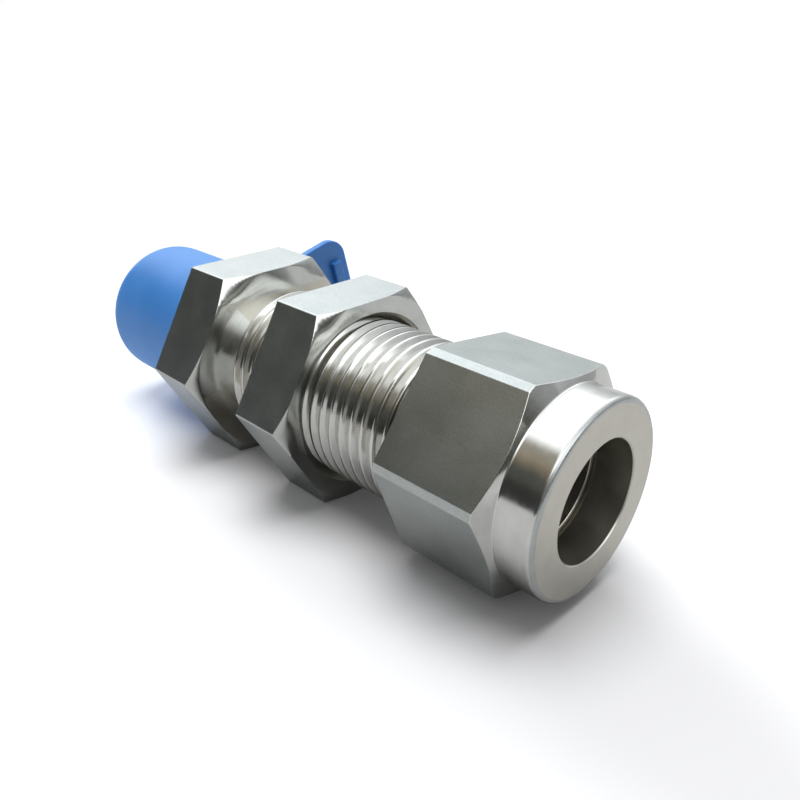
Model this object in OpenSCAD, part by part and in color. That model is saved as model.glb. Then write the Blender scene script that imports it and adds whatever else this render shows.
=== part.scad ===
// Bulkhead tube fitting: a half-inch compression end, a bulkhead thread with its jam nut, and a taper pipe
// thread under a soft thread cap. Sizes are in millimetres.
// The fitting's axis is X, with the tube entering from +X, and the part lies on its hexagon flats.
// The origin is on the axis, in the face of the body hexagon that seats on the panel.

/* [Tube socket and flow bore] */
// Outside diameter of the tube that the fitting grips
tube_d = 12.7; // [10:0.1:16]
// Radial room round the tube in the body and the ferrules
tube_room = 0.05; // [0.03:0.01:0.2]
// Depth of the tube socket below the end of the body
socket_depth = 12.5; // [9:0.1:16]
// Width of the step that the tube's end stops on, round the flow bore
stop_w = 1.6; // [1:0.05:2.5]
// Radial width of the conical mouth that the front ferrule seats in
mouth_w = 1.35; // [1.2:0.05:1.6]
// Half angle of the conical mouth
mouth_angle = 12; // [10:0.5:16]

/* [Bulkhead thread] */
// Wall at the end of the body, from the edge of the mouth to the thread crests
thread_wall = 1.775; // [1.6:0.005:2.5]
// Pitch of the bulkhead thread
thread_pitch = 1.5875; // [1.1:0.0125:1.8]
// Length from the panel seat to the end of the body
thread_length = 37.5; // [32:0.5:50]
// Width of the undercut beside the hexagon
relief_w = 1.9; // [1:0.1:3]
// Depth of the undercut below the thread crests
relief_depth = 0.95; // [0.8:0.05:1.2]

/* [Body hexagon] */
// How far the flats of the body hexagon stand out from the thread crests
hex_land = 2.38; // [2:0.01:4]
// Length of the body hexagon
hex_length = 7.94; // [6:0.01:12]
// How far the body hexagon's turned end face reaches past the flats, towards the corners
face_over = 0.1; // [0.05:0.05:0.8]
// Angle of the corner chamfers of the body hexagon and the jam nut from their end faces
face_angle = 32; // [25:1:40]

/* [Taper pipe thread] */
// Outside diameter of the pipe thread where it meets the hexagon
pipe_d = 17.14; // [16:0.01:18]
// Length of the pipe end
pipe_length = 14.2; // [12:0.1:17]
// Pitch of the pipe thread
pipe_pitch = 1.411; // [1.2:0.001:1.8]
// Taper of the pipe end, as loss of diameter along its length
pipe_taper = 0.0625; // [0.05:0.0005:0.07]

/* [Jam nut] */
// Length of the jam nut
jam_length = 7.6; // [5:0.1:9]
// How far the jam nut's turned end face reaches past its flats, towards the corners
jam_face_over = 0.4; // [0.05:0.05:0.8]
// Gap between the panel seat and the jam nut, where the panel goes
jam_place = 9.5; // [1:0.1:12]

/* [Ferrules] */
// Length of the front ferrule
front_length = 7; // [6.5:0.1:8]
// How far the front ferrule stands out from the edge of the mouth
front_step = 0.3; // [0.2:0.05:0.5]
// Wall of the front ferrule at its nose
nose_wall = 0.45; // [0.3:0.05:0.6]
// Depth of the cone in the front ferrule that takes the back ferrule
cup_depth = 1; // [0.7:0.05:1.1]
// Length of the back ferrule
back_length = 3.5; // [3.2:0.05:4]
// How far the back ferrule stops inside the outside of the front one
back_step = 0.1; // [0:0.05:0.3]
// Radial room round the ferrules in the tube nut
ferrule_room = 0.2; // [0.1:0.05:0.4]
// Clearance between seats that meet on a cone
seat_clearance = 0.05; // [0.02:0.01:0.1]

/* [Tube nut] */
// How far the flats of the tube nut lie inside those of the body hexagon
nut_step = 0.795; // [0:0.005:0.8]
// Depth turned off the corners of the tube nut's hexagon bar
corner_turned = 0.28; // [0.1:0.01:0.6]
// Angle of the tube nut's turned chamfer from its end face
chamfer_angle = 27; // [20:1:35]
// Length of the tube nut
nut_length = 17.4; // [16:0.1:19]
// How far the turned shoulder stops inside the nut's flats
shoulder_inset = 0.61; // [0.3:0.01:1]
// Length of the turned shoulder
shoulder_length = 4.2; // [2.5:0.1:5]
// Rounding of the shoulder's front edge
shoulder_round = 0.6; // [0.3:0.1:1]
// Length of the bore in front of the nut's driving seat
nut_wall = 4.1; // [3:0.1:5]
// Radial room round the tube in the nut's bore
nut_tube_room = 0.09; // [0.05:0.01:0.3]
// Turn of the tube nut about the axis, in degrees
nut_turned = -8; // [-30:1:30]
// Radial clearance between the nuts and the thread crests
thread_clearance = 0.06; // [0.03:0.01:0.15]

/* [Thread cap] */
// Radial room between the cap and the pipe thread
cap_room = 0.1; // [0.05:0.01:0.3]
// Wall of the cap
cap_wall = 0.85; // [0.6:0.05:1.1]
// Length of the cap
cap_length = 20.5; // [18:0.5:26]
// Rounding of the cap's closed end
cap_round = 3; // [1.5:0.1:4]
// Thickness of the cap's rim
rim_t = 1.4; // [1.4:0.05:2]
// How far the rim stands out from the cap
rim_w = 0.9; // [0.5:0.1:1.4]
// Thickness of the pull tab
tab_t = 1.15; // [0.8:0.05:1.3]
// Length of the pull tab beyond the rim
tab_length = 10.03; // [7:0.01:14]
// Width of the pull tab
tab_width = 13; // [9:0.5:14]
// Corner radius of the pull tab
tab_corner = 2.95; // [1:0.05:4]
// Direction of the pull tab above the horizontal, in degrees
tab_turned = 15; // [0:1:40]
// Distance of the grip bar from the tab's end
bar_place = 1.55; // [0.5:0.05:2.5]
// Width of the grip bar
bar_w = 1.55; // [1:0.05:2.5]
// Length of the grip bar across the tab
bar_length = 6.4; // [3:0.1:8]
// Height of the grip bar
bar_h = 0.8; // [0.4:0.05:1.2]

/* [Hidden] */
$fn = 96;
steel = [0.62, 0.63, 0.61];
bright_steel = [0.72, 0.73, 0.72];
cap_blue = [0.20, 0.46, 0.84];
// Length by which a cut runs past the face that it opens
cut = 1;
// Room between the cap's rim and the hexagon
rim_gap = 0.05;

// Radii that the pieces share, from the tube outwards
tube_hole_r = tube_d / 2 + tube_room;
bore_r = tube_hole_r - stop_w;
mouth_r = tube_hole_r + mouth_w;
thread_r = mouth_r + thread_wall;
nut_thread_r = thread_r + thread_clearance;
front_r = mouth_r + front_step;
back_r = front_r - back_step;
chamber_r = front_r + ferrule_room;

// Hexagons: the body and the jam nut take one wrench and lie on one table, and the tube nut is smaller
hex_af = 2 * (thread_r + hex_land);
jam_af = hex_af;
nut_af = hex_af - 2 * nut_step;

// Radii of the cap
cap_inner_r = pipe_d / 2 + cap_room;
cap_outer_r = cap_inner_r + cap_wall;
rim_r = cap_outer_r + rim_w;
tab_reach = rim_r + tab_length;

// Thread forms: a sixty-degree ridge, with its depth and the width of its flanks from the pitch
thread_depth = 0.5413 * thread_pitch;
pipe_depth = 0.75 * pipe_pitch;
flank_share = tan(30);

// Places along the axis, from the ferrules' seat in the body's mouth out to the front of the tube nut
front_tip = thread_length - (mouth_r - tube_hole_r - nose_wall - seat_clearance) / tan(mouth_angle);
front_rear = front_tip + front_length;
back_tip = front_rear - cup_depth + seat_clearance;
back_rear = back_tip + back_length;
nut_bore_r = tube_d / 2 + nut_tube_room;
seat_land = 0.6;
nut_seat = back_rear + (tube_hole_r + seat_land - nut_bore_r) + seat_clearance * sqrt(2);
nut_front = nut_seat + nut_wall;
nut_rear = nut_front - nut_length;
jam_rear = jam_place;

// A revolved solid about the X axis from points [place along the axis, radius]
module turned(points) {
    rotate([0, 90, 0]) rotate_extrude() polygon([for (p = points) [p[1], p[0]]]);
}

// A hexagonal bar along X from place a to place b, with a flat underneath when turn is 0
module hex_bar(af, a, b, turn = 0) {
    rotate([turn, 0, 0]) translate([a, 0, 0]) rotate([0, 90, 0]) rotate([0, 0, 30])
        cylinder(d = af / cos(30), h = b - a, $fn = 6);
}

// A hexagon with its corners chamfered at the +X end, outside a turned face that reaches past the flats
module chamfered_hex(af, a, b, over) {
    face_r = af / 2 + over;
    corner_r = af / 2 / cos(30) + cut;
    back = (corner_r - face_r) * tan(face_angle);
    intersection() {
        hex_bar(af, a, b);
        turned([[a - cut, 0], [a - cut, corner_r], [b - back, corner_r], [b, face_r], [b, 0]]);
    }
}

// Profile points of ring-shaped thread grooves, from the first at place a, each one pitch further on.
// The crest radius at place x is r - slope * (x - a), and dir is the way along the axis.
function groove_points(a, r, pitch, depth, count, slope = 0, dir = 1) =
    let (flank = depth * flank_share, root = max(pitch - 2 * flank, 0.1) / 3)
    [for (i = [0:count - 1], p = [[0, 0], [flank, depth], [flank + root, depth], [2 * flank + root, 0]])
        [a + dir * (i * pitch + p[0]), r - slope * (i * pitch + p[0]) - p[1]]];

// The bulkhead thread's profile, from the undercut to the chamfered end of the body
module bulkhead_thread() {
    relief_r = thread_r - relief_depth;
    first = relief_w + relief_depth + thread_pitch / 8;
    end_chamfer = thread_depth + 0.1;
    count = floor((thread_length - end_chamfer - first) / thread_pitch);
    turned(concat(
        [[-cut, 0], [-cut, relief_r], [relief_w, relief_r], [relief_w + relief_depth, thread_r]],
        groove_points(first, thread_r, thread_pitch, thread_depth, count),
        [[thread_length - end_chamfer, thread_r], [thread_length, thread_r - end_chamfer],
         [thread_length, 0]]));
}

// The taper pipe thread's profile, from the hexagon's rear face to its chamfered end
module pipe_thread() {
    start = -hex_length;
    slope = pipe_taper / 2;
    shank = 2;
    end_chamfer = 1;
    end_r = pipe_d / 2 - slope * pipe_length;
    count = floor((pipe_length - shank - end_chamfer) / pipe_pitch);
    turned(concat(
        [[start + cut, 0], [start + cut, pipe_d / 2], [start, pipe_d / 2]],
        groove_points(start - shank, pipe_d / 2 - slope * shank, pipe_pitch, pipe_depth, count, slope, -1),
        [[start - pipe_length + end_chamfer, end_r], [start - pipe_length, end_r - end_chamfer],
         [start - pipe_length, 0]]));
}

// One turned piece: pipe thread, hexagon and bulkhead thread, bored through, with the tube socket's mouth
module fitting_body() {
    color(steel) difference() {
        union() {
            chamfered_hex(hex_af, -hex_length, 0, face_over);
            bulkhead_thread();
            pipe_thread();
        }
        turned([
            [-hex_length - pipe_length - cut, 0],
            [-hex_length - pipe_length - cut, bore_r],
            [thread_length - socket_depth, bore_r],
            [thread_length - socket_depth, tube_hole_r],
            [thread_length - (mouth_r - tube_hole_r) / tan(mouth_angle), tube_hole_r],
            [thread_length, mouth_r],
            [thread_length + cut, mouth_r],
            [thread_length + cut, 0]]);
    }
}

// Hexagonal nut that clamps the panel against the body hexagon
module jam_nut() {
    lead = thread_depth;
    color(steel) difference() {
        chamfered_hex(jam_af, jam_rear, jam_rear + jam_length, jam_face_over);
        turned([
            [jam_rear - cut, 0],
            [jam_rear - cut, nut_thread_r + lead],
            [jam_rear, nut_thread_r + lead],
            [jam_rear + lead, nut_thread_r],
            [jam_rear + jam_length - lead, nut_thread_r],
            [jam_rear + jam_length, nut_thread_r + lead],
            [jam_rear + jam_length + cut, nut_thread_r + lead],
            [jam_rear + jam_length + cut, 0]]);
    }
}

// Outside of the tube nut, as turned from a hexagonal bar
module nut_blank() {
    corner_r = nut_af / 2 / cos(30) - corner_turned;
    shoulder_r = nut_af / 2 - shoulder_inset;
    shoulder_rear = nut_front - shoulder_length;
    chamfer_rear = shoulder_rear - (corner_r - shoulder_r) * tan(chamfer_angle);
    round_steps = 6;
    intersection() {
        hex_bar(nut_af, nut_rear, nut_front, nut_turned);
        turned(concat(
            [[nut_rear - cut, 0], [nut_rear - cut, corner_r], [chamfer_rear, corner_r],
             [shoulder_rear, shoulder_r]],
            [for (i = [0:round_steps]) let (a = 90 * i / round_steps)
                [nut_front - shoulder_round * (1 - sin(a)), shoulder_r - shoulder_round * (1 - cos(a))]],
            [[nut_front, 0]]));
    }
}

// Nut that drives the ferrules into the body's mouth and on to the tube
module tube_nut() {
    lead = thread_depth;
    seat_rear = nut_seat - (chamber_r - nut_bore_r);
    thread_end = thread_length + 1;
    color(bright_steel) difference() {
        nut_blank();
        turned([
            [nut_rear - cut, 0],
            [nut_rear - cut, nut_thread_r + lead],
            [nut_rear, nut_thread_r + lead],
            [nut_rear + lead, nut_thread_r],
            [thread_end, nut_thread_r],
            [thread_end + (nut_thread_r - chamber_r), chamber_r],
            [seat_rear, chamber_r],
            [nut_seat, nut_bore_r],
            [nut_front + cut, nut_bore_r],
            [nut_front + cut, 0]]);
    }
}

// Ferrule whose cone seats in the body's mouth, with a cup behind for the back ferrule
module front_ferrule() {
    nose_r = tube_hole_r + nose_wall;
    cone_end = front_tip + (front_r - nose_r) / tan(mouth_angle);
    cup_r = tube_hole_r + 0.15;
    color(bright_steel) turned([
        [front_tip, tube_hole_r],
        [front_tip, nose_r],
        [cone_end, front_r],
        [front_rear, front_r],
        [front_rear, cup_r + cup_depth],
        [front_rear - cup_depth, cup_r],
        [front_rear - cup_depth, tube_hole_r]]);
}

// Ferrule whose nose wedges under the front ferrule and whose back takes the nut's thrust
module back_ferrule() {
    nose_r = tube_hole_r + 0.15 + seat_clearance - seat_clearance * sqrt(2);
    nose_length = cup_depth - seat_clearance - 0.05;
    flange_gap = 0.35;
    thrust_r = tube_hole_r + seat_land;
    color(bright_steel) turned([
        [back_tip, tube_hole_r],
        [back_tip, nose_r],
        [back_tip + nose_length, nose_r + nose_length],
        [front_rear + flange_gap, nose_r + nose_length],
        [front_rear + flange_gap, back_r],
        [back_rear - (back_r - thrust_r), back_r],
        [back_rear, thrust_r],
        [back_rear, tube_hole_r]]);
}

// Outline of the pull tab, in the plane of the rim with its direction along X and its root inside the rim
module tab_outline() {
    root_r = rim_r - rim_w / 2;
    straight = tab_reach - tab_corner;
    difference() {
        union() {
            translate([0, -tab_width / 2]) square([straight, tab_width]);
            translate([0, -tab_width / 2 + tab_corner]) square([tab_reach, tab_width - 2 * tab_corner]);
            for (side = [-1, 1])
                translate([straight, side * (tab_width / 2 - tab_corner)]) circle(tab_corner);
        }
        circle(root_r);
    }
}

// Soft cap over the pipe thread, with a rim against the hexagon and a pull tab
module thread_cap() {
    front = -hex_length - rim_gap;
    inner_end_r = cap_inner_r - pipe_taper / 2 * pipe_length;
    inner_round = cap_round - cap_wall;
    closed = front - cap_length;
    steps = 8;
    color(cap_blue) difference() {
        union() {
            turned(concat(
                [[front, 0], [front, rim_r], [front - rim_t, rim_r], [front - rim_t, cap_outer_r]],
                [for (i = [0:steps]) let (a = 90 * i / steps)
                    [closed + cap_round * (1 - sin(a)), cap_outer_r - cap_round * (1 - cos(a))]],
                [[closed, 0]]));
            rotate([tab_turned, 0, 0]) translate([front - tab_t, 0, 0]) rotate([90, 0, 90])
                linear_extrude(tab_t) tab_outline();
            rotate([tab_turned, 0, 0])
                translate([front - tab_t / 2, tab_reach - bar_place - bar_w, -bar_length / 2])
                cube([tab_t / 2 + bar_h, bar_w, bar_length]);
        }
        turned(concat(
            [[front + cut, 0], [front + cut, cap_inner_r], [front, cap_inner_r],
             [front - pipe_length, inner_end_r]],
            [for (i = [0:steps]) let (a = 90 * i / steps)
                [closed + cap_wall + inner_round * (1 - sin(a)), inner_end_r - inner_round * (1 - cos(a))]],
            [[closed + cap_wall, 0]]));
    }
}

fitting_body();
jam_nut();
tube_nut();
front_ferrule();
back_ferrule();
thread_cap();
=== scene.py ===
import math

import bmesh
import bpy
from mathutils import Euler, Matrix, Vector


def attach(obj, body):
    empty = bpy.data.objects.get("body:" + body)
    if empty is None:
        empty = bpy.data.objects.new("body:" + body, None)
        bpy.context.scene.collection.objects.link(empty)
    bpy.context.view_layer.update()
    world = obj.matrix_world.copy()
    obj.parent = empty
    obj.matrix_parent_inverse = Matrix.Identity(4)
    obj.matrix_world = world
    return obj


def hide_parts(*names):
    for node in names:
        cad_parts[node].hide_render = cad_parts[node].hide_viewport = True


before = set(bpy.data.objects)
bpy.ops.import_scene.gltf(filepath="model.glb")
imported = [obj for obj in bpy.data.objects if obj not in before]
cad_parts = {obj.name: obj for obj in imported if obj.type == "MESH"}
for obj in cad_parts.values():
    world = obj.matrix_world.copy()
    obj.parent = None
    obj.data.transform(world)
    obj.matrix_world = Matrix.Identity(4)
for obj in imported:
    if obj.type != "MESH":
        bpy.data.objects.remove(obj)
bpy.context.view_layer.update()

# Sizes in millimetres along and round the fitting's axis, X, as in the part's source.

TO_METRES = 0.001
TABLE_Z = -11.905

HEX_AF = 23.81
HEX_REAR = -7.94
BODY_FACE_R = 12.005
JAM_FACE_R = 12.305
FACE_SLOPE = math.tan(math.radians(32))
NUT_SLOPE = math.tan(math.radians(27))

THREAD_R = 9.525
THREAD_PITCH = 1.5875
THREAD_DEPTH = 0.8593
RELIEF_R = 8.575
RELIEF_END = 1.9
BODY_END = 37.5
NUT_THREAD_R = 9.585

PIPE_R = 8.5675
PIPE_LENGTH = 14.2
PIPE_PITCH = 1.411
PIPE_DEPTH = 1.058
PIPE_SLOPE = 0.03125
PIPE_END = -22.14

FLOW_BORE_R = 4.8
TUBE_HOLE_R = 6.4
SOCKET_END = 25.0
MOUTH_START = 31.149
MOUTH_R = 7.75
MOUTH_SLOPE = math.tan(math.radians(12))

JAM_REAR = 9.5
JAM_FRONT = 17.1

FRONT_FERRULE = (33.501, 40.501)
FRONT_FERRULE_R = 8.05
NOSE_WALL = 0.45
CUP_DEPTH = 1.0
BACK_FERRULE = (39.551, 43.051)
BACK_FERRULE_R = 7.95
BACK_FLANGE = 40.851

NUT_AF = 22.22
NUT_REAR = 30.382
NUT_SEAT = 43.682
NUT_FRONT = 47.7817
NUT_BORE_R = 6.44
NUT_CORNER_R = 12.55
NUT_TURN = math.radians(-8)
SHOULDER_R = 10.5
SHOULDER_REAR = 43.582
SHOULDER_ROUND = 0.6
CHAMBER_R = 8.25

CAP_FRONT = -7.99
CAP_CLOSED = -28.49
CAP_R = 9.52
CAP_WALL = 0.85
CAP_INNER_R = 8.67
CAP_INNER_END_R = 8.226
CAP_ROUND = 3.0
RIM_R = 10.42
RIM_T = 1.4
RIM_ROUND = 0.22
TAB_T = 1.15
TAB_STEP = 0.03
TAB_ROOT = 6.9
TAB_REACH = 20.447
TAB_WIDTH = 13.0
TAB_CORNER = 2.95
TAB_TURN = math.radians(15)
BAR_INNER = 17.35
BAR_WIDTH = 1.55
BAR_LENGTH = 6.4
BAR_HEIGHT = 0.8

# How far a cutter or a joined piece reaches past the surface that it works on.
PAST = 1.0
# How far a blank stands out round the thread that it trims.
OVER = 0.15


# Modelling, in millimetres; each finished piece is brought down to metres.


def clear_selection():
    if bpy.context.mode != "OBJECT":
        bpy.ops.object.mode_set(mode="OBJECT")
    bpy.ops.object.select_all(action="DESELECT")


def work_on(piece):
    clear_selection()
    piece.select_set(True)
    bpy.context.view_layer.objects.active = piece


def edit_all(piece):
    work_on(piece)
    bpy.ops.object.mode_set(mode="EDIT")
    bpy.ops.mesh.select_all(action="SELECT")


def drawn_profile(name, points):
    """A chain of edges through points [place along the axis, radius], drawn above the axis."""
    clear_selection()
    x, r = points[0]
    bpy.ops.mesh.primitive_plane_add(size=0.1, location=(x, 0, r))
    piece = bpy.context.object
    piece.name = name
    bpy.ops.object.transform_apply(location=True, rotation=True, scale=True)
    bpy.ops.object.mode_set(mode="EDIT")
    bpy.ops.mesh.select_all(action="SELECT")
    bpy.ops.mesh.merge(type="CENTER")
    for (xa, ra), (xb, rb) in zip(points, points[1:]):
        bpy.ops.mesh.extrude_vertices_move(TRANSFORM_OT_translate={"value": (xb - xa, 0, rb - ra)})
    bpy.ops.object.mode_set(mode="OBJECT")
    return piece


def close_and_face_out(piece):
    edit_all(piece)
    bpy.ops.mesh.remove_doubles(threshold=0.0005)
    bpy.ops.mesh.normals_make_consistent(inside=False)
    bpy.ops.object.mode_set(mode="OBJECT")
    return piece


def turned(name, points, steps=160):
    """A solid turned about the axis from a profile whose two ends lie on the axis, or meet."""
    piece = drawn_profile(name, points)
    edit_all(piece)
    bpy.ops.mesh.spin(steps=steps, angle=math.tau, center=(0, 0, 0), axis=(1, 0, 0))
    return close_and_face_out(piece)


def ridge_form(pitch, depth, crest_r, crest_break=0.02):
    """One pitch of a sixty-degree thread, from the middle of a crest to the middle of the next."""
    flank = depth * math.tan(math.radians(30))
    root = (pitch - 2 * flank) / 3
    crest = root
    fall = crest_break * 0.9
    low = crest_r - depth
    half = [
        (0, crest_r),
        (crest - crest_break, crest_r),
        (crest + crest_break * 0.6, crest_r - fall),
        (crest + flank - root * 0.15, low + root * 0.35),
        (crest + flank + root * 0.2, low),
    ]
    return half + [(pitch - x, r) for x, r in reversed(half)]


def thread_rod(name, start, turns, pitch, form, steps=96):
    """A closed rod with a true right-hand helical thread, longer than the place it is trimmed to."""
    piece = drawn_profile(name, [(start + x, r) for x, r in form])
    work_on(piece)
    screw = piece.modifiers.new("thread", "SCREW")
    screw.axis = "X"
    screw.angle = math.tau
    screw.screw_offset = pitch
    screw.iterations = turns
    screw.steps = steps
    screw.render_steps = steps
    bpy.ops.object.modifier_apply(modifier=screw.name)
    edit_all(piece)
    bpy.ops.mesh.remove_doubles(threshold=0.0005)
    bpy.ops.mesh.select_mode(type="EDGE")
    bpy.ops.mesh.select_all(action="DESELECT")
    bpy.ops.mesh.select_non_manifold(
        extend=False,
        use_wire=False,
        use_boundary=True,
        use_multi_face=False,
        use_non_contiguous=False,
        use_verts=False,
    )
    bpy.ops.mesh.extrude_region_move(TRANSFORM_OT_translate={"value": (0, 0, 0)})
    bpy.ops.mesh.merge(type="COLLAPSE")
    bpy.ops.mesh.select_mode(type="VERT")
    return close_and_face_out(piece)


def combine(piece, tool, operation):
    work_on(piece)
    cut = piece.modifiers.new("combine", "BOOLEAN")
    cut.operation = operation
    cut.solver = "EXACT"
    cut.object = tool
    bpy.ops.object.modifier_apply(modifier=cut.name)
    bpy.data.objects.remove(tool, do_unlink=True)
    return piece


def hexagon_bar(name, af, rear, front, turn=0.0):
    """A length of hexagon bar along the axis, lying on a flat when turn is 0."""
    clear_selection()
    bpy.ops.mesh.primitive_cylinder_add(
        vertices=6,
        radius=af / 2 / math.cos(math.radians(30)),
        depth=front - rear,
        location=((rear + front) / 2, 0, 0),
        rotation=(0, math.radians(90), 0),
    )
    piece = bpy.context.object
    piece.name = name
    bpy.ops.object.transform_apply(location=True, rotation=True, scale=True)
    piece.rotation_euler = Euler((turn, 0, 0))
    bpy.ops.object.transform_apply(location=False, rotation=True, scale=False)
    return piece


def block(name, low, high):
    clear_selection()
    middle = [(a + b) / 2 for a, b in zip(low, high)]
    bpy.ops.mesh.primitive_cube_add(size=1, location=middle)
    piece = bpy.context.object
    piece.name = name
    piece.scale = [b - a for a, b in zip(low, high)]
    bpy.ops.object.transform_apply(location=True, rotation=True, scale=True)
    return piece


def arc(centre_x, centre_r, radius, start, end, steps):
    """Profile points on an arc, with angles from the +X direction in degrees."""
    points = []
    for i in range(steps + 1):
        a = math.radians(start + (end - start) * i / steps)
        points.append((centre_x + radius * math.cos(a), centre_r + radius * math.sin(a)))
    return points


def break_edges(piece, offset, wanted, segments=2, sharp=12):
    """Rounds the edges that are sharper than the given angle and that wanted() picks by their middle."""
    work_on(piece)
    bpy.ops.object.mode_set(mode="EDIT")
    bpy.ops.mesh.select_mode(type="EDGE")
    bpy.ops.mesh.select_all(action="DESELECT")
    shape = bmesh.from_edit_mesh(piece.data)
    for edge in shape.edges:
        if len(edge.link_faces) != 2 or edge.calc_face_angle(0) < math.radians(sharp):
            continue
        middle = (edge.verts[0].co + edge.verts[1].co) / 2
        if wanted(middle, math.hypot(middle.y, middle.z)):
            edge.select_set(True)
    bmesh.update_edit_mesh(piece.data)
    bpy.ops.mesh.bevel(offset=offset, segments=segments, affect="EDGES", clamp_overlap=True)
    bpy.ops.mesh.select_mode(type="VERT")
    bpy.ops.object.mode_set(mode="OBJECT")
    return piece


def chamfered_hexagon(name, rear, front, face_r):
    """The hexagon of the body and of the jam nut: square behind, corners turned off in front."""
    corner_break, edge_break = 0.18, 0.05
    rear_zone, chamfer_zone = rear + 0.5, front - 1.3
    piece = hexagon_bar(name, HEX_AF, rear, front)
    break_edges(piece, corner_break, lambda middle, r: r > HEX_AF / 2 + 1, segments=4)
    corner_r = HEX_AF / 2 / math.cos(math.radians(30)) + PAST
    back = (corner_r - face_r) * FACE_SLOPE
    blank = turned(
        name + "_blank",
        [(rear - PAST, 0), (rear - PAST, corner_r), (front - back, corner_r), (front, face_r), (front, 0)],
    )
    combine(piece, blank, "INTERSECT")
    return break_edges(
        piece, edge_break, lambda middle, r: middle.x < rear_zone or middle.x > chamfer_zone, sharp=20
    )


def finish_piece(piece, body, node, finishes, smooth=35):
    """Brings a piece down to metres and gives each face its finish, then attaches it to its body and hides
    the imported part it replaces.
    """
    edit_all(piece)
    bpy.ops.mesh.dissolve_degenerate(threshold=0.0001)
    bpy.ops.object.mode_set(mode="OBJECT")
    piece.data.materials.clear()
    for material, _ in finishes:
        piece.data.materials.append(material)
    for face in piece.data.polygons:
        for place, (_, wanted) in enumerate(finishes):
            if wanted(face.center, face.normal):
                face.material_index = place
    piece.scale = (TO_METRES, TO_METRES, TO_METRES)
    bpy.ops.object.transform_apply(location=False, rotation=False, scale=True)
    bpy.ops.object.shade_smooth_by_angle(angle=math.radians(smooth))
    soft = piece.modifiers.new("even_shading", "WEIGHTED_NORMAL")
    soft.keep_sharp = True
    bpy.ops.object.modifier_apply(modifier=soft.name)
    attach(piece, body)
    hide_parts(node)
    return piece


# Materials.

# Depths of the surface grain, in metres.
STEEL_GRAIN = 0.00002
PLASTIC_GRAIN = 0.00005


class Socket:
    """A shader value that Python's own operators can be used on."""

    def __init__(self, shader, out):
        self.shader = shader
        self.out = out

    def _with(self, operation, left, right):
        return self.shader.node("ShaderNodeMath", {"operation": operation}, {0: left, 1: right})

    def __add__(self, other):
        return self._with("ADD", self, other)

    def __radd__(self, other):
        return self._with("ADD", other, self)

    def __mul__(self, other):
        return self._with("MULTIPLY", self, other)

    def __rmul__(self, other):
        return self._with("MULTIPLY", other, self)

    def __pow__(self, other):
        return self._with("POWER", self, other)


class Shader:
    """The node tree of one material or of the world."""

    def __init__(self, tree):
        self.tree = tree
        tree.nodes.clear()

    def node(self, kind, settings=None, inputs=None, output=0):
        made = self.tree.nodes.new(kind)
        for name, value in (settings or {}).items():
            if name == "stops":
                ramp = made.color_ramp
                while len(ramp.elements) < len(value):
                    ramp.elements.new(0.5)
                for element, (place, colour) in zip(ramp.elements, value):
                    element.position = place
                    element.color = colour
            else:
                setattr(made, name, value)
        for name, value in (inputs or {}).items():
            if isinstance(value, Socket):
                self.tree.links.new(value.out, made.inputs[name])
            else:
                made.inputs[name].default_value = value
        return Socket(self, made.outputs[output]) if len(made.outputs) else None

    def place(self):
        """Object coordinates, in millimetres."""
        spot = self.node("ShaderNodeTexCoord", output="Object")
        return self.node("ShaderNodeVectorMath", {"operation": "SCALE"}, {0: spot, "Scale": 1 / TO_METRES})

    def parts(self, vector):
        split = self.node("ShaderNodeSeparateXYZ", inputs={0: vector})
        outs = split.out.node.outputs
        return [Socket(self, outs[axis]) for axis in range(3)]

    def noise(self, vector, scale, detail, roughness):
        return self.node(
            "ShaderNodeTexNoise",
            {"noise_dimensions": "3D"},
            {"Vector": vector, "Scale": scale, "Detail": detail, "Roughness": roughness},
        )

    def stretched(self, vector, scale):
        return self.node("ShaderNodeMapping", {"vector_type": "POINT"}, {"Vector": vector, "Scale": scale})

    def blend(self, factor, low, high):
        return self.node(
            "ShaderNodeMix", {"data_type": "RGBA"}, {"Factor": factor, "A": low, "B": high}, output="Result"
        )

    def between(self, value, start, end, low=0.0, high=1.0):
        return self.node(
            "ShaderNodeMapRange",
            {"interpolation_type": "SMOOTHSTEP", "clamp": True},
            {"Value": value, "From Min": start, "From Max": end, "To Min": low, "To Max": high},
        )

    def ramp(self, value, stops):
        return self.node("ShaderNodeValToRGB", {"stops": stops}, {0: value})

    def bump(self, height, strength, distance):
        return self.node(
            "ShaderNodeBump", inputs={"Height": height, "Strength": strength, "Distance": distance}
        )

    def rays(self):
        """Three masks: rays from the camera, the first mirror rays, and diffuse rays."""
        path = self.node("ShaderNodeLightPath")
        outs = path.out.node.outputs
        camera_ray = Socket(self, outs["Is Camera Ray"])
        depth = Socket(self, outs["Diffuse Depth"])
        mirror_ray = Socket(self, outs["Is Glossy Ray"]) * self.between(depth, 0.0, 1.0, low=1.0, high=0.0)
        return camera_ray, mirror_ray, Socket(self, outs["Is Diffuse Ray"])


def new_material(name):
    material = bpy.data.materials.new(name)
    material.use_nodes = True
    return material, Shader(material.node_tree)


def surface(shader, inputs):
    closure = shader.node("ShaderNodeBsdfPrincipled", inputs=inputs)
    shader.node("ShaderNodeOutputMaterial", inputs={"Surface": closure})


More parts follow.
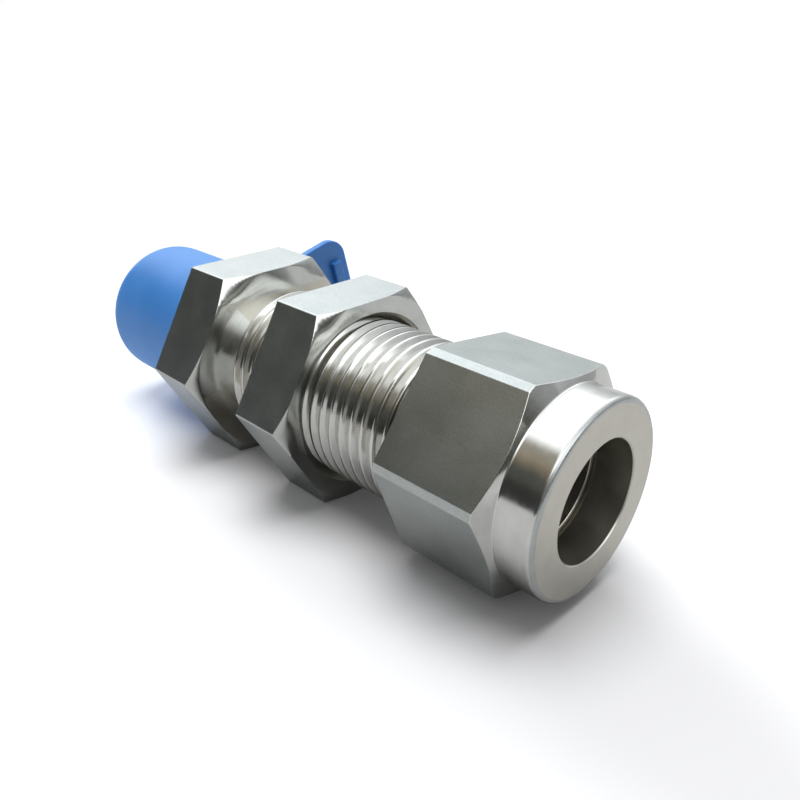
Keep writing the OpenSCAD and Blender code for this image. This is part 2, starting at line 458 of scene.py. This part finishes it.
def bar_flats_material(name, low, high):
    """Drawn hexagon bar: a dull grey with a fine speckled grain, drawn out faintly along the bar."""
    material, shader = new_material(name)
    spot = shader.place()
    drawn = shader.noise(shader.stretched(spot, (0.6, 5.0, 5.0)), scale=1.0, detail=3.0, roughness=0.6)
    specks = shader.noise(spot, scale=6.0, detail=3.0, roughness=0.7)
    clouds = shader.noise(spot, scale=0.3, detail=2.0, roughness=0.5)
    tone = drawn * 0.2 + specks * 0.6 + clouds * 0.2
    colour = shader.blend(shader.between(tone, 0.38, 0.62), low, high)
    roughness = shader.between(specks * 0.6 + clouds * 0.4, 0.35, 0.65, low=0.29, high=0.35)
    relief = shader.bump(drawn * 0.3 + specks * 0.7, strength=0.1, distance=STEEL_GRAIN)
    surface(shader, {"Base Color": colour, "Metallic": 1.0, "Roughness": roughness, "Normal": relief})
    return material


def lathe_material(name, low, high, smooth, rough, relief_strength):
    """Steel off the lathe: fine rings that follow the tool, and faint smears from handling."""
    material, shader = new_material(name)
    spot = shader.place()
    x, y, z = shader.parts(spot)
    radius = (y * y + z * z) ** 0.5
    lathe = shader.node("ShaderNodeCombineXYZ", inputs={"X": x, "Y": radius, "Z": 0.0})
    rings = shader.noise(lathe, scale=8.0, detail=3.0, roughness=0.65)
    bands = shader.noise(lathe, scale=1.3, detail=2.0, roughness=0.5)
    smears = shader.noise(spot, scale=0.5, detail=3.0, roughness=0.5)
    colour = shader.blend(shader.between(rings * 0.4 + smears * 0.6, 0.35, 0.65), low, high)
    roughness = shader.between(bands * 0.4 + smears * 0.6, 0.35, 0.65, low=smooth, high=rough)
    relief = shader.bump(rings, strength=relief_strength, distance=STEEL_GRAIN)
    surface(shader, {"Base Color": colour, "Metallic": 1.0, "Roughness": roughness, "Normal": relief})
    return material


def cap_plastic_material(name, low, high):
    """Soft moulded polyethylene: an even blue with a faint skin and slightly paler worn places."""
    material, shader = new_material(name)
    spot = shader.place()
    skin = shader.noise(spot, scale=4.0, detail=3.0, roughness=0.55)
    clouds = shader.noise(spot, scale=0.18, detail=2.0, roughness=0.5)
    colour = shader.blend(shader.between(clouds * 0.7 + skin * 0.3, 0.36, 0.64), low, high)
    roughness = shader.between(skin, 0.35, 0.65, low=0.42, high=0.52)
    relief = shader.bump(skin, strength=0.12, distance=PLASTIC_GRAIN)
    surface(
        shader,
        {
            "Base Color": colour,
            "Roughness": roughness,
            "Normal": relief,
            "IOR": 1.5,
            "Subsurface Weight": 0.35,
            "Subsurface Radius": (0.4, 0.7, 1.2),
            "Subsurface Scale": TO_METRES,
        },
    )
    return material


BAR_FLATS = bar_flats_material("bar_flats", low=(0.42, 0.45, 0.44, 1), high=(0.52, 0.545, 0.54, 1))
TURNED_STEEL = lathe_material(
    "turned_steel",
    low=(0.60, 0.60, 0.575, 1),
    high=(0.68, 0.68, 0.655, 1),
    smooth=0.11,
    rough=0.18,
    relief_strength=0.08,
)
SHOULDER_STEEL = lathe_material(
    "shoulder_steel",
    low=(0.54, 0.55, 0.53, 1),
    high=(0.60, 0.61, 0.59, 1),
    smooth=0.15,
    rough=0.19,
    relief_strength=0.05,
)
FACED_STEEL = lathe_material(
    "faced_steel",
    low=(0.455, 0.475, 0.47, 1),
    high=(0.515, 0.535, 0.53, 1),
    smooth=0.25,
    rough=0.31,
    relief_strength=0.06,
)
BORED_STEEL = lathe_material(
    "bored_steel",
    low=(0.58, 0.56, 0.50, 1),
    high=(0.62, 0.60, 0.54, 1),
    smooth=0.30,
    rough=0.34,
    relief_strength=0.05,
)
CAP_PLASTIC = cap_plastic_material(
    "blue_polyethylene", low=(0.046, 0.225, 0.61, 1), high=(0.058, 0.25, 0.66, 1)
)


def everywhere(middle, normal):
    return True


def on_flats(af):
    """Picks the hexagon bar's own skin: its six flats and the narrow strips along its corners."""

    def wanted(middle, normal):
        return abs(normal.x) < 0.2 and math.hypot(middle.y, middle.z) > af / 2 - 0.15

    return wanted


def in_front(start, end=math.inf):
    """Picks faces that look along +X between two places on the axis."""

    def wanted(middle, normal):
        return start < middle.x < end and normal.x > 0.5

    return wanted


def in_bore(limit_r):
    """Picks faces that look at the axis from inside the given radius."""

    def wanted(middle, normal):
        outward = normal.y * middle.y + normal.z * middle.z
        return math.hypot(middle.y, middle.z) < limit_r and outward < 0.02

    return wanted


# The pieces.


def bulkhead_thread():
    """The threaded shank, with the undercut beside the hexagon and a chamfered end."""
    helix_start, helix_turns = -3.5, 29
    chamfer_start = BODY_END - THREAD_DEPTH - 0.25
    edge_break = 0.05
    top = THREAD_R + OVER
    root_r = THREAD_R - THREAD_DEPTH
    form = ridge_form(THREAD_PITCH, THREAD_DEPTH, THREAD_R)
    thread = thread_rod("bulkhead_thread", helix_start, helix_turns, THREAD_PITCH, form)
    blank = turned(
        "thread_blank",
        [
            (-PAST, 0),
            (-PAST, RELIEF_R),
            (RELIEF_END - 0.25, RELIEF_R),
            (RELIEF_END + 0.05, RELIEF_R + 0.08),
            (RELIEF_END + top - RELIEF_R, top),
            (chamfer_start, top),
            (BODY_END - edge_break, root_r - edge_break),
            (BODY_END, root_r - 0.14),
            (BODY_END, 0),
        ],
    )
    return combine(thread, blank, "INTERSECT")


def pipe_thread():
    """The taper thread under the cap, with a chamfered end."""
    helix_start, helix_turns = -25.0, 13
    end_chamfer = 1.0
    thread_stop = -9.2
    clear_r = PIPE_R + 0.5
    nominal_r = PIPE_R - PIPE_SLOPE * HEX_REAR
    form = ridge_form(PIPE_PITCH, PIPE_DEPTH, nominal_r)
    pipe = thread_rod("pipe_thread", helix_start, helix_turns, PIPE_PITCH, form, steps=80)
    work_on(pipe)
    taper = pipe.modifiers.new("taper", "SIMPLE_DEFORM")
    taper.deform_method = "TAPER"
    taper.deform_axis = "X"
    taper.factor = PIPE_SLOPE / nominal_r * pipe.dimensions.x
    bpy.ops.object.modifier_apply(modifier=taper.name)
    end_r = PIPE_R + PIPE_SLOPE * (PIPE_END - HEX_REAR)
    chamfer_end = PIPE_END + (end_chamfer + OVER)
    blank = turned(
        "pipe_blank",
        [
            (PIPE_END, 0),
            (PIPE_END, end_r - end_chamfer),
            (chamfer_end, end_r + OVER),
            (chamfer_end, clear_r),
            (thread_stop, clear_r),
            (thread_stop, 0),
        ],
    )
    return combine(pipe, blank, "INTERSECT")


def pipe_shank():
    """The plain shank between the hexagon and the taper thread, sloping into the thread's first root."""
    inside, shank_end, run_out = -7.0, -9.6, -10.9
    root_r = PIPE_R - PIPE_DEPTH - 0.15
    return turned(
        "pipe_shank",
        [(inside, 0), (inside, PIPE_R + 0.03), (shank_end, PIPE_R), (run_out, root_r), (run_out, 0)],
    )


def flow_path():
    """The tool for the bore, the tube socket and the conical mouth."""
    rear_chamfer = 0.25
    rear_r = FLOW_BORE_R + rear_chamfer
    rim_r = MOUTH_R + 0.08
    return turned(
        "flow_path",
        [
            (PIPE_END - 2 * PAST, 0),
            (PIPE_END - 2 * PAST, rear_r),
            (PIPE_END, rear_r),
            (PIPE_END + rear_chamfer, FLOW_BORE_R),
            (SOCKET_END, FLOW_BORE_R),
            (SOCKET_END, TUBE_HOLE_R),
            (MOUTH_START, TUBE_HOLE_R),
            (BODY_END - 0.1, MOUTH_R - 0.02),
            (BODY_END, rim_r),
            (BODY_END + PAST, rim_r),
            (BODY_END + PAST, 0),
        ],
    )


def make_fitting_body():
    body = chamfered_hexagon("body_piece", HEX_REAR, 0.0, BODY_FACE_R)
    combine(body, bulkhead_thread(), "UNION")
    combine(body, pipe_thread(), "UNION")
    combine(body, pipe_shank(), "UNION")
    combine(body, flow_path(), "DIFFERENCE")
    return finish_piece(
        body,
        "fitting",
        "fitting_body",
        [
            (TURNED_STEEL, everywhere),
            (SHOULDER_STEEL, in_front(-2, 0.1)),
            (BORED_STEEL, in_bore(8.0)),
            (BAR_FLATS, on_flats(HEX_AF)),
        ],
    )


def inside_thread(name, nut_rear, front):
    """The tool that cuts a nut's inside thread: a screw just clear of the crests of the thread it runs on."""
    helix_start = nut_rear - 2.4
    rear = nut_rear - 0.5
    form = ridge_form(THREAD_PITCH, 0.55, NUT_THREAD_R + 0.5)
    turns = math.ceil((front - rear) / THREAD_PITCH) + 4
    tool = thread_rod(name, helix_start, turns, THREAD_PITCH, form)
    top = NUT_THREAD_R + 0.7
    low = NUT_THREAD_R - 0.3
    blank = turned(
        name + "_blank",
        [(rear, 0), (rear, top), (front - (top - low), top), (front, low), (front, 0)],
    )
    return combine(tool, blank, "INTERSECT")


def make_jam_nut():
    nut = chamfered_hexagon("jam_nut_piece", JAM_REAR, JAM_FRONT, JAM_FACE_R)
    lead = THREAD_DEPTH
    hole = turned(
        "jam_hole",
        [
            (JAM_REAR - PAST, 0),
            (JAM_REAR - PAST, NUT_THREAD_R + lead + PAST),
            (JAM_REAR + lead, NUT_THREAD_R),
            (JAM_FRONT - lead, NUT_THREAD_R),
            (JAM_FRONT + PAST, NUT_THREAD_R + lead + PAST),
            (JAM_FRONT + PAST, 0),
        ],
    )
    combine(nut, hole, "DIFFERENCE")
    combine(nut, inside_thread("jam_thread", JAM_REAR, JAM_FRONT + 1.5), "DIFFERENCE")
    return finish_piece(
        nut,
        "jam_nut",
        "jam_nut",
        [
            (TURNED_STEEL, everywhere),
            (SHOULDER_STEEL, in_front(JAM_FRONT - 2)),
            (BORED_STEEL, in_bore(10.3)),
            (BAR_FLATS, on_flats(HEX_AF)),
        ],
    )


def tube_nut_blank():
    """The turned outside that trims the tube nut's hexagon: chamfer, shoulder and its rounded edge."""
    chamfer_rear = SHOULDER_REAR - (NUT_CORNER_R - SHOULDER_R) * NUT_SLOPE
    edge = [
        (
            NUT_FRONT - SHOULDER_ROUND * (1 - math.sin(math.radians(a))),
            SHOULDER_R - SHOULDER_ROUND * (1 - math.cos(math.radians(a))),
        )
        for a in range(0, 91, 15)
    ]
    return turned(
        "tube_nut_blank",
        [(NUT_REAR - PAST, 0), (NUT_REAR - PAST, NUT_CORNER_R), (chamfer_rear, NUT_CORNER_R)]
        + [(SHOULDER_REAR - 0.06, SHOULDER_R + 0.06), (SHOULDER_REAR + 0.12, SHOULDER_R)]
        + edge
        + [(NUT_FRONT, 0)],
    )


def tube_nut_hollow(thread_end):
    """The tool for the thread's hole, the ferrules' chamber, the driving seat and the tube's bore."""
    lead = THREAD_DEPTH
    mouth_break = 0.12
    return turned(
        "tube_nut_hollow",
        [
            (NUT_REAR - PAST, 0),
            (NUT_REAR - PAST, NUT_THREAD_R + lead + PAST),
            (NUT_REAR + lead, NUT_THREAD_R),
            (thread_end, NUT_THREAD_R),
            (thread_end + NUT_THREAD_R - CHAMBER_R, CHAMBER_R),
            (NUT_SEAT - (CHAMBER_R - NUT_BORE_R), CHAMBER_R),
            (NUT_SEAT, NUT_BORE_R),
            (NUT_FRONT - mouth_break, NUT_BORE_R),
            (NUT_FRONT + (PAST - mouth_break), NUT_BORE_R + PAST),
            (NUT_FRONT + (PAST - mouth_break), 0),
        ],
    )


def make_tube_nut():
    thread_end = BODY_END + 1
    nut = hexagon_bar("tube_nut_piece", NUT_AF, NUT_REAR, NUT_FRONT, NUT_TURN)
    combine(nut, tube_nut_blank(), "INTERSECT")
    break_edges(nut, 0.07, lambda middle, r: middle.x < SHOULDER_REAR - 0.02)
    combine(nut, tube_nut_hollow(thread_end), "DIFFERENCE")
    combine(nut, inside_thread("tube_nut_thread", NUT_REAR, thread_end - 0.3), "DIFFERENCE")
    return finish_piece(
        nut,
        "tube_nut",
        "tube_nut",
        [
            (TURNED_STEEL, everywhere),
            (FACED_STEEL, in_front(NUT_FRONT - 0.5)),
            (BORED_STEEL, in_bore(10.3)),
            (BAR_FLATS, on_flats(NUT_AF)),
        ],
        smooth=20,
    )


def finish_ferrule(ring, node):
    finishes = [(TURNED_STEEL, everywhere), (BORED_STEEL, in_bore(7.6))]
    return finish_piece(ring, "ferrule_set", node, finishes)


def make_front_ferrule():
    tip, rear = FRONT_FERRULE
    nose_r = TUBE_HOLE_R + NOSE_WALL
    outer_r = FRONT_FERRULE_R
    cup_r = TUBE_HOLE_R + 0.15
    cone_end = tip + (outer_r - nose_r) / MOUTH_SLOPE
    ring = turned(
        "front_ferrule_piece",
        [
            (tip, TUBE_HOLE_R + 0.05),
            (tip, nose_r - 0.08),
            (tip + 0.08, nose_r),
            (cone_end - 0.2, outer_r - 0.03),
            (cone_end + 0.2, outer_r),
            (rear - 0.1, outer_r),
            (rear, outer_r - 0.1),
            (rear, cup_r + CUP_DEPTH),
            (rear - CUP_DEPTH, cup_r),
            (rear - CUP_DEPTH, TUBE_HOLE_R),
            (tip + 0.05, TUBE_HOLE_R),
            (tip, TUBE_HOLE_R + 0.05),
        ],
    )
    return finish_ferrule(ring, "front_ferrule")


def make_back_ferrule():
    tip, rear = BACK_FERRULE
    nose_r = TUBE_HOLE_R + 0.13
    outer_r = BACK_FERRULE_R
    neck_r = nose_r + 0.88
    ring = turned(
        "back_ferrule_piece",
        [
            (tip, TUBE_HOLE_R + 0.04),
            (tip, nose_r - 0.02),
            (tip + 0.02, nose_r),
            (tip + 0.9, neck_r),
            (BACK_FLANGE, neck_r),
            (BACK_FLANGE, outer_r - 0.08),
            (BACK_FLANGE + 0.08, outer_r),
            (rear - 0.95, outer_r),
            (rear, TUBE_HOLE_R + 0.6),
            (rear, TUBE_HOLE_R + 0.05),
            (rear - 0.05, TUBE_HOLE_R),
            (tip + 0.04, TUBE_HOLE_R),
            (tip, TUBE_HOLE_R + 0.04),
        ],
    )
    return finish_ferrule(ring, "back_ferrule")


def cap_shell():
    """The outside of the cap as one solid, from the rim to the rounded closed end."""
    rim_rear = CAP_FRONT - RIM_T
    return turned(
        "cap_shell",
        [(CAP_FRONT, 0)]
        + arc(CAP_FRONT - RIM_ROUND, RIM_R - RIM_ROUND, RIM_ROUND, 0, 90, 4)
        + arc(rim_rear + RIM_ROUND, RIM_R - RIM_ROUND, RIM_ROUND, 90, 180, 4)
        + [(rim_rear, CAP_R + 0.3), (rim_rear - 0.1, CAP_R + 0.1), (rim_rear - 0.3, CAP_R)]
        + arc(CAP_CLOSED + CAP_ROUND, CAP_R - CAP_ROUND, CAP_ROUND, 90, 180, 14)
        + [(CAP_CLOSED, 2.0), (CAP_CLOSED, 0)],
    )


def cap_hollow():
    """The tool that hollows the cap to fit the taper thread."""
    mouth_break = 0.15
    inner_round = CAP_ROUND - CAP_WALL
    return turned(
        "cap_hollow",
        [
            (CAP_FRONT + PAST, 0),
            (CAP_FRONT + PAST, CAP_INNER_R + mouth_break),
            (CAP_FRONT, CAP_INNER_R + mouth_break),
            (CAP_FRONT - mouth_break, CAP_INNER_R),
            (CAP_FRONT - PIPE_LENGTH, CAP_INNER_END_R),
        ]
        + arc(CAP_CLOSED + CAP_WALL + inner_round, CAP_INNER_END_R - inner_round, inner_round, 90, 180, 8)
        + [(CAP_CLOSED + CAP_WALL, 0)],
    )


def pull_tab():
    """The tab with two rounded corners and a raised bar across it, turned to its place on the rim."""
    front = CAP_FRONT - TAB_STEP
    rear = CAP_FRONT - TAB_T
    middle_x = (front + rear) / 2
    tab = block("cap_tab", (rear, TAB_ROOT, -TAB_WIDTH / 2), (front, TAB_REACH, TAB_WIDTH / 2))
    break_edges(tab, TAB_CORNER, lambda m, r: abs(m.x - middle_x) < 0.1 and m.y > 20, segments=12, sharp=60)
    break_edges(tab, 0.16, lambda middle, r: middle.y > TAB_ROOT + 0.1, segments=3, sharp=60)
    bar = block(
        "cap_bar",
        (CAP_FRONT - 0.4, BAR_INNER, -BAR_LENGTH / 2),
        (CAP_FRONT + BAR_HEIGHT, BAR_INNER + BAR_WIDTH, BAR_LENGTH / 2),
    )
    break_edges(bar, 0.2, lambda middle, r: middle.x > CAP_FRONT, segments=3)
    combine(tab, bar, "UNION")
    tab.rotation_euler = Euler((TAB_TURN, 0, 0))
    work_on(tab)
    bpy.ops.object.transform_apply(location=False, rotation=True, scale=False)
    return tab


def make_thread_cap():
    shell = cap_shell()
    combine(shell, pull_tab(), "UNION")
    combine(shell, cap_hollow(), "DIFFERENCE")
    return finish_piece(shell, "cap", "thread_cap", [(CAP_PLASTIC, everywhere)])


make_fitting_body()
make_jam_nut()
make_tube_nut()
make_front_ferrule()
make_back_ferrule()
make_thread_cap()


# Table, light and camera.

# Level directions in which the room changes, as shares of X and Y.
WALL_WAY = (-0.552, -0.834)
NEAR_WAY = (0.819, -0.574)
CAMERA_WAY = (0.5, -0.866)
WINDOW_WAY = (-0.8, 0.6)

# What the steel mirrors at each height, from level at 0 to overhead at 1.
WALL_STOPS = [
    (0.0, (0.042, 0.043, 0.043, 1)),
    (0.20, (0.045, 0.046, 0.045, 1)),
    (0.30, (0.056, 0.056, 0.052, 1)),
    (0.37, (0.088, 0.090, 0.084, 1)),
    (0.44, (0.092, 0.094, 0.087, 1)),
    (0.52, (0.11, 0.11, 0.097, 1)),
    (0.60, (0.25, 0.22, 0.16, 1)),
    (0.68, (0.40, 0.35, 0.27, 1)),
    (0.78, (0.42, 0.40, 0.35, 1)),
]
BRIGHT_STOPS = [
    (0.0, (0.80, 0.83, 0.83, 1)),
    (0.17, (0.98, 1.02, 1.03, 1)),
    (0.34, (1.45, 1.51, 1.55, 1)),
    (0.50, (2.40, 2.47, 2.52, 1)),
    (0.90, (2.30, 2.36, 2.40, 1)),
]
NEAR_STOPS = [
    (0.0, (0.04, 0.04, 0.036, 1)),
    (0.17, (0.10, 0.10, 0.09, 1)),
    (0.31, (0.20, 0.20, 0.18, 1)),
    (0.38, (2.30, 2.35, 2.38, 1)),
    (0.60, (2.00, 2.05, 2.08, 1)),
]
LOW_STOPS = [
    (0.0, (0.05, 0.05, 0.045, 1)),
    (0.55, (0.30, 0.30, 0.29, 1)),
    (0.95, (1.5, 1.5, 1.5, 1)),
]


def make_table():
    clear_selection()
    bpy.ops.mesh.primitive_plane_add(size=6, location=(0, 0, TABLE_Z * TO_METRES))
    table = bpy.context.object
    table.name = "table_top"
    bpy.ops.object.transform_apply(location=True, rotation=True, scale=True)
    material, shader = new_material("table_white")
    camera_ray, mirror_ray, diffuse_ray = shader.rays()
    shaded = shader.blend(diffuse_ray, (0.30, 0.30, 0.30, 1), (0.90, 0.90, 0.885, 1))
    mirrored = shader.blend(mirror_ray, shaded, (0.59, 0.59, 0.585, 1))
    white = shader.blend(camera_ray, mirrored, (0.96, 0.955, 0.96, 1))
    paint = shader.node("ShaderNodeBsdfDiffuse", inputs={"Color": white})
    glow = shader.node("ShaderNodeEmission", inputs={"Color": (1, 1, 1, 1), "Strength": camera_ray * 0.02})
    both = shader.node("ShaderNodeAddShader", inputs={0: paint, 1: glow})
    shader.node("ShaderNodeOutputMaterial", inputs={"Surface": both})
    table.data.materials.append(material)


def make_room():
    """A white room as the camera sees it.

    The first mirror rays see a bright side behind the fitting, a dim wall beside it, and a near side that is
    dark below. All other rays see an even sky, lighter behind.
    """
    world = bpy.data.worlds.new("room")
    bpy.context.scene.world = world
    world.use_nodes = True
    shader = Shader(world.node_tree)
    camera_ray, mirror_ray, _ = shader.rays()
    direction = shader.node("ShaderNodeTexCoord", output="Generated")
    x, y, z = shader.parts(direction)

    def along(way):
        return x * way[0] + y * way[1]

    wall_side = shader.between(along(WALL_WAY), 0.47, 0.61)
    near_side = shader.between(along(NEAR_WAY), 0.30, 0.60)
    photographer = shader.between(along(CAMERA_WAY), 0.60, 0.85)
    behind = shader.between(x * -1.0, -0.7, 0.3, low=0.38, high=0.72)
    far_behind = shader.between(x * -1.0, 0.5, 0.85, low=0.0, high=0.36)
    wall = shader.ramp(z, WALL_STOPS)
    bright = shader.ramp(z, BRIGHT_STOPS)
    near = shader.ramp(z, NEAR_STOPS)
    low = shader.ramp(z, LOW_STOPS)
    open_room = shader.blend(behind + far_behind, (0, 0, 0, 1), bright)
    near_room = shader.blend(photographer, near, low)
    mirrored = shader.blend(wall_side, shader.blend(near_side, open_room, near_room), wall)
    lighter_behind = shader.between(along(WINDOW_WAY), -0.7, 0.7)
    even = shader.blend(lighter_behind, (0.15, 0.15, 0.153, 1), (0.50, 0.505, 0.51, 1))
    shine = shader.blend(mirror_ray, even, mirrored)
    seen = shader.blend(camera_ray, shine, (1, 1, 1, 1))
    air = shader.node("ShaderNodeBackground", inputs={"Color": seen, "Strength": 1.0})
    shader.node("ShaderNodeOutputWorld", inputs={"Surface": air})


def make_lamp(name, azimuth, elevation, width, energy):
    """A wide lamp far away; angles in degrees, the azimuth from +X towards +Y."""
    light = bpy.data.lights.new(name, "SUN")
    light.energy = energy
    light.angle = math.radians(width)
    light.color = (0.98, 0.99, 1.0)
    lamp = bpy.data.objects.new(name, light)
    bpy.context.scene.collection.objects.link(lamp)
    lamp.visible_glossy = False
    flat = math.cos(math.radians(elevation))
    towards = Vector(
        (
            flat * math.cos(math.radians(azimuth)),
            flat * math.sin(math.radians(azimuth)),
            math.sin(math.radians(elevation)),
        )
    )
    lamp.rotation_euler = towards.to_track_quat("Z", "Y").to_euler()


def make_camera():
    """The camera of the photo, as fitted to the corners of the three hexagons."""
    lens = bpy.data.cameras.new("photo_view")
    lens.sensor_width = 36
    lens.lens = 34.7
    lens.clip_start = 0.001
    camera = bpy.data.objects.new("photo_view", lens)
    bpy.context.scene.collection.objects.link(camera)
    camera.location = (0.0761916, -0.0560463, 0.0406650)
    camera.rotation_euler = Euler((math.radians(63.339), math.radians(-0.555), math.radians(44.325)))
    bpy.context.scene.camera = camera


make_table()
make_room()
make_lamp("overhead", azimuth=163, elevation=85, width=42, energy=2.0)
make_lamp("far_window", azimuth=163, elevation=21, width=36, energy=2.6)
make_camera()
bpy.context.scene.view_settings.view_transform = "Standard"
